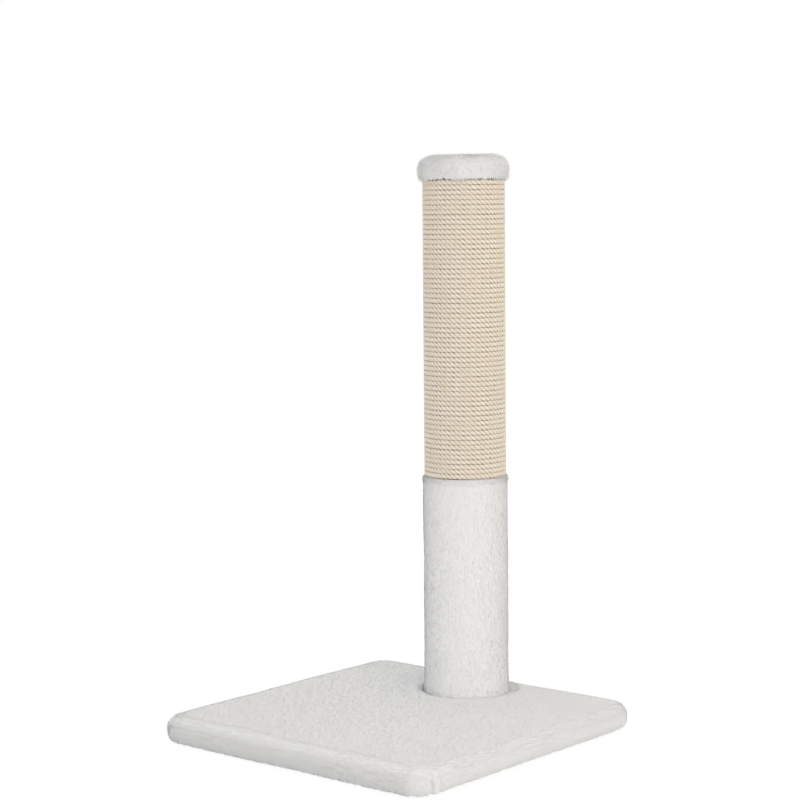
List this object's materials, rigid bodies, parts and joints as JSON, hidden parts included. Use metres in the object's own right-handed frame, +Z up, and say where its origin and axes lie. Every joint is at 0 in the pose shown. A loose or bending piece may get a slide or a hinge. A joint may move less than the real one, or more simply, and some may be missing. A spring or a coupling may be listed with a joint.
{
  "type": "cat scratching post",
  "caption": "Free-standing cat scratching post: a plush-covered square base carries a sisal-wound tube with a plush sleeve at its foot and a padded plush cap.",
  "frame": {"origin": "centre of the square base, on the floor that the foot pads stand on", "axes": "+Z up along the post, +Y from the base's centre to the post, +X to the right seen from the free end of the base"},
  "size_m": [0.416, 0.416, 0.7075],
  "materials": {
    "white_plush": "short soft pile",
    "sisal": "coarse three-strand rope",
    "particle_board": "raw",
    "cardboard": "raw spiral-wound paper",
    "liner_fleece": "pressed non-woven cloth",
    "foam": "open-cell foam",
    "pad_rubber": "matt",
    "zinc_steel": "zinc plated"
  },
  "bodies": {
    "root": {"base_board": "particle_board", "base_plush": "white_plush", "base_staples": "zinc_steel", "base_liner": "liner_fleece", "liner_staples": "zinc_steel", "foot_pad_front_left": "pad_rubber", "foot_pad_front_right": "pad_rubber", "foot_pad_rear_left": "pad_rubber", "foot_pad_rear_right": "pad_rubber", "base_bolt": "zinc_steel", "base_washer": "zinc_steel", "post_tube": "cardboard", "lower_plug": "particle_board", "upper_plug": "particle_board", "lower_plug_staples": "zinc_steel", "upper_plug_staples": "zinc_steel", "lower_tee_nut": "zinc_steel", "upper_tee_nut": "zinc_steel", "plush_sleeve": "white_plush", "sisal_rope": "sisal", "cap_disc": "particle_board", "cap_pad": "foam", "cap_plush": "white_plush", "cap_staples": "zinc_steel", "cap_bolt": "zinc_steel"}
  },
  "joints": []
}
